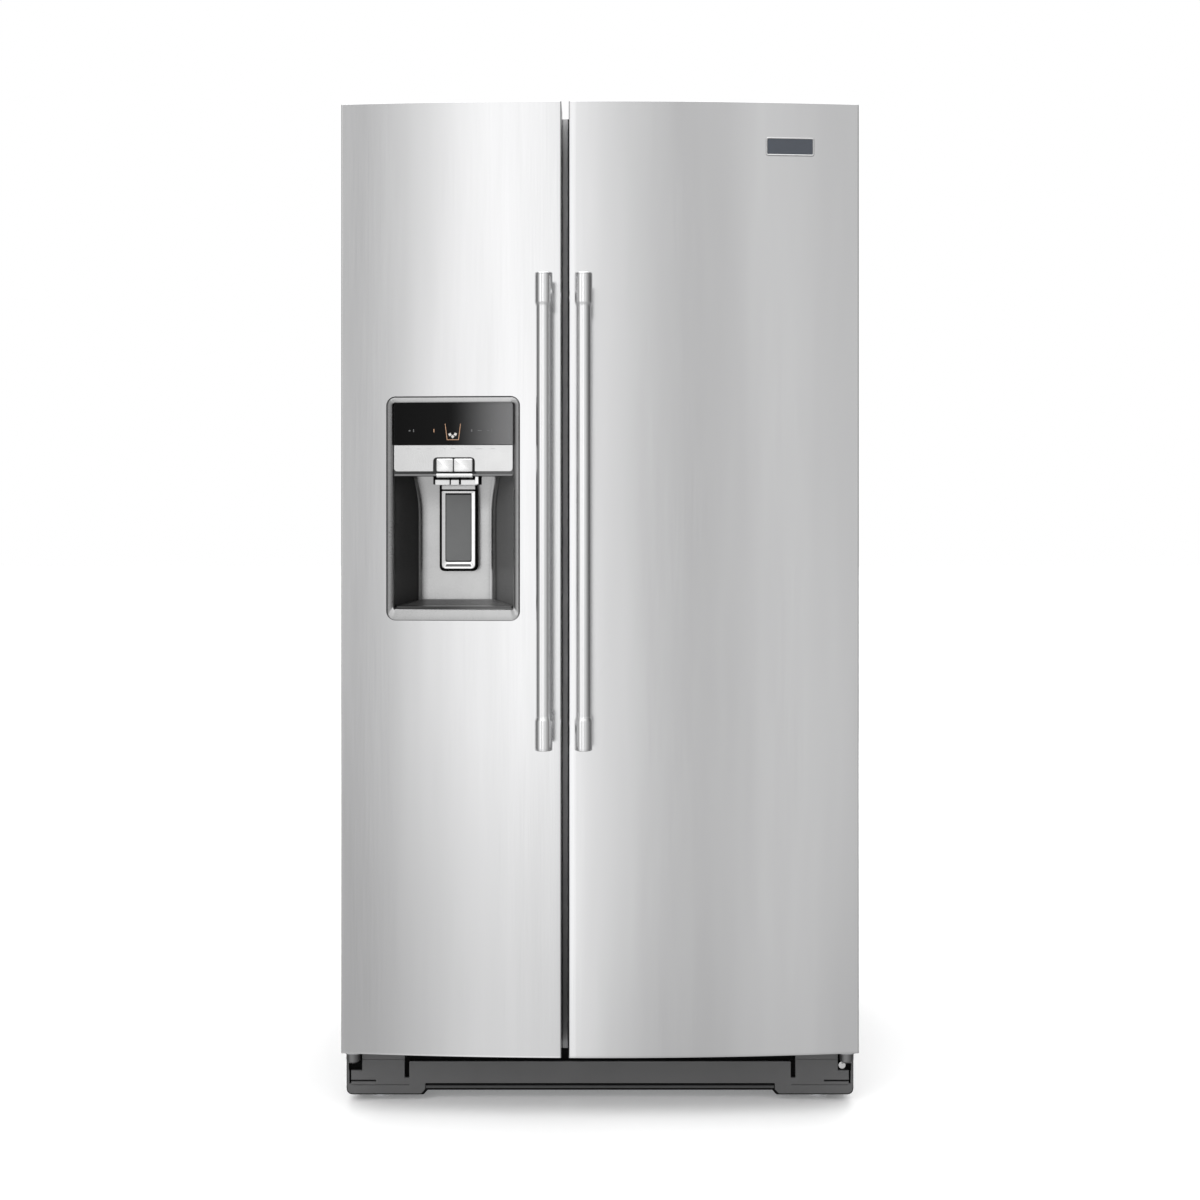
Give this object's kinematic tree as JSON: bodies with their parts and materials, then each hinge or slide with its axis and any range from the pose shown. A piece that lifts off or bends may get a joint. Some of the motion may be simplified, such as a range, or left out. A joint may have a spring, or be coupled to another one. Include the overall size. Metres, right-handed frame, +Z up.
{
  "type": "side by side refrigerator",
  "caption": "Side by side refrigerator with bowed stainless doors, vertical bar handles and an ice and water dispenser in the freezer door.",
  "frame": {"origin": "on the floor, in the middle of the overall width and depth", "axes": "+X to the right of a person facing the doors, +Y from the doors to the back, +Z up"},
  "size_m": [0.908, 0.885, 1.776],
  "materials": {
    "stainless": "vertical brushed grain, satin",
    "handle_steel": "satin",
    "case_paint": "fine textured grey paint",
    "bare_steel": "zinc plated",
    "copper": "bare copper tube",
    "white_plastic": "semi gloss moulding",
    "clear_plastic": "clear moulding",
    "shelf_glass": "tempered glass in a white frame",
    "gasket_rubber": "soft vinyl",
    "dark_plastic": "matt moulding",
    "silver_plastic": "silver metallic moulding",
    "black_glass": "gloss black",
    "black_paint": "black enamel",
    "foam": "rigid insulation foam",
    "door_lining": "moulded white lining over insulation foam"
  },
  "bodies": {
    "cabinet": {"outer_case": "case_paint", "foam_insulation": "foam", "back_panel": "bare_steel", "freezer_liner": "white_plastic", "fridge_liner": "white_plastic", "base_frame": "bare_steel", "base_grille": "dark_plastic", "machine_cover": "bare_steel", "compressor": "black_paint", "condenser_coil": "copper", "evaporator_coil": "bare_steel", "evaporator_cover": "white_plastic", "ice_maker": "bare_steel", "control_housing": "white_plastic", "top_hinge_left": "bare_steel", "top_hinge_right": "bare_steel", "bottom_hinge_left": "bare_steel", "bottom_hinge_right": "bare_steel", "hinge_cover_left": "dark_plastic", "hinge_cover_right": "dark_plastic", "fridge_shelf_upper": "shelf_glass", "fridge_shelf_lower": "shelf_glass", "crisper_cover": "shelf_glass", "freezer_shelf_upper": "shelf_glass", "freezer_shelf_lower": "shelf_glass"},
    "freezer_door": {"freezer_door_skin": "stainless", "freezer_door_core": "door_lining", "freezer_door_gasket": "gasket_rubber", "freezer_handle_bar": "handle_steel", "freezer_handle_top": "handle_steel", "freezer_handle_bottom": "handle_steel", "dispenser_housing": "silver_plastic", "control_panel": "black_glass", "drip_tray": "dark_plastic", "ice_bin": "clear_plastic", "freezer_door_bin": "clear_plastic"},
    "fridge_door": {"fridge_door_skin": "stainless", "fridge_door_core": "door_lining", "fridge_door_gasket": "gasket_rubber", "fridge_handle_bar": "handle_steel", "fridge_handle_top": "handle_steel", "fridge_handle_bottom": "handle_steel", "name_plate": "silver_plastic", "dairy_bin": "clear_plastic", "fridge_door_bin": "clear_plastic"},
    "ice_button": {"ice_button": "silver_plastic"},
    "water_button": {"water_button": "silver_plastic"},
    "dispenser_lever": {"dispenser_lever": "silver_plastic"},
    "dairy_lid": {"dairy_lid": "clear_plastic"},
    "crisper_drawer": {"crisper_drawer": "clear_plastic"},
    "deli_drawer": {"deli_drawer": "clear_plastic"},
    "freezer_basket": {"freezer_basket": "clear_plastic"},
    "front_roller_left": {"front_roller_left": "dark_plastic"},
    "front_roller_right": {"front_roller_right": "dark_plastic"},
    "rear_roller_left": {"rear_roller_left": "dark_plastic"},
    "rear_roller_right": {"rear_roller_right": "dark_plastic"},
    "condenser_fan": {"condenser_fan": "dark_plastic"},
    "evaporator_fan": {"evaporator_fan": "white_plastic"},
    "leveling_foot_left": {"leveling_foot_left": "bare_steel"},
    "leveling_foot_right": {"leveling_foot_right": "bare_steel"}
  },
  "joints": [
    {"name": "freezer_door_hinge", "type": "hinge", "parent": "cabinet", "child": "freezer_door", "pos_m": [-0.432, -0.3145, 1], "axis": [0, 0, -1], "range_deg": [0, 130]},
    {"name": "fridge_door_hinge", "type": "hinge", "parent": "cabinet", "child": "fridge_door", "pos_m": [0.432, -0.3145, 1], "axis": [0, 0, 1], "range_deg": [0, 130]},
    {"name": "ice_button_press", "type": "slide", "parent": "freezer_door", "child": "ice_button", "axis": [0, 1, 0], "range_m": [0, 0.002], "stiffness_N_per_m": 600},
    {"name": "water_button_press", "type": "slide", "parent": "freezer_door", "child": "water_button", "axis": [0, 1, 0], "range_m": [0, 0.002], "stiffness_N_per_m": 600},
    {"name": "lever_pivot", "type": "hinge", "parent": "freezer_door", "child": "dispenser_lever", "pos_m": [-0.252, -0.2905, 1.108], "axis": [1, 0, 0], "range_deg": [0, 7], "stiffness_Nm_per_rad": 1.2, "springref_deg": -5.73},
    {"name": "dairy_lid_hinge", "type": "hinge", "parent": "fridge_door", "child": "dairy_lid", "pos_m": [0.189, -0.2705, 1.573], "axis": [1, 0, 0], "range_deg": [0, 75]},
    {"name": "crisper_drawer_slide", "type": "slide", "parent": "cabinet", "child": "crisper_drawer", "axis": [0, -1, 0], "range_m": [0, 0.138]},
    {"name": "deli_drawer_slide", "type": "slide", "parent": "cabinet", "child": "deli_drawer", "axis": [0, -1, 0], "range_m": [0, 0.138]},
    {"name": "freezer_basket_slide", "type": "slide", "parent": "cabinet", "child": "freezer_basket", "axis": [0, -1, 0], "range_m": [0, 0.138]},
    {"name": "front_roller_left_axle", "type": "hinge", "parent": "cabinet", "child": "front_roller_left", "pos_m": [-0.4, -0.185, 0.0235], "axis": [1, 0, 0], "continuous": true},
    {"name": "front_roller_right_axle", "type": "hinge", "parent": "cabinet", "child": "front_roller_right", "pos_m": [0.4, -0.185, 0.0235], "axis": [1, 0, 0], "continuous": true},
    {"name": "rear_roller_left_axle", "type": "hinge", "parent": "cabinet", "child": "rear_roller_left", "pos_m": [-0.4, 0.385, 0.022], "axis": [1, 0, 0], "continuous": true},
    {"name": "rear_roller_right_axle", "type": "hinge", "parent": "cabinet", "child": "rear_roller_right", "pos_m": [0.4, 0.385, 0.022], "axis": [1, 0, 0], "continuous": true},
    {"name": "condenser_fan_shaft", "type": "hinge", "parent": "cabinet", "child": "condenser_fan", "pos_m": [0.045, 0.325, 0.165], "axis": [1, 0, 0], "continuous": true},
    {"name": "evaporator_fan_shaft", "type": "hinge", "parent": "cabinet", "child": "evaporator_fan", "pos_m": [-0.248, 0.325, 1.13], "axis": [0, 1, 0], "continuous": true},
    {"name": "leveling_foot_left_screw", "type": "hinge", "parent": "cabinet", "child": "leveling_foot_left", "pos_m": [-0.395, -0.245, 0], "axis": [0, 0, 1], "continuous": true},
    {"name": "leveling_foot_right_screw", "type": "hinge", "parent": "cabinet", "child": "leveling_foot_right", "pos_m": [0.395, -0.245, 0], "axis": [0, 0, 1], "continuous": true}
  ]
}
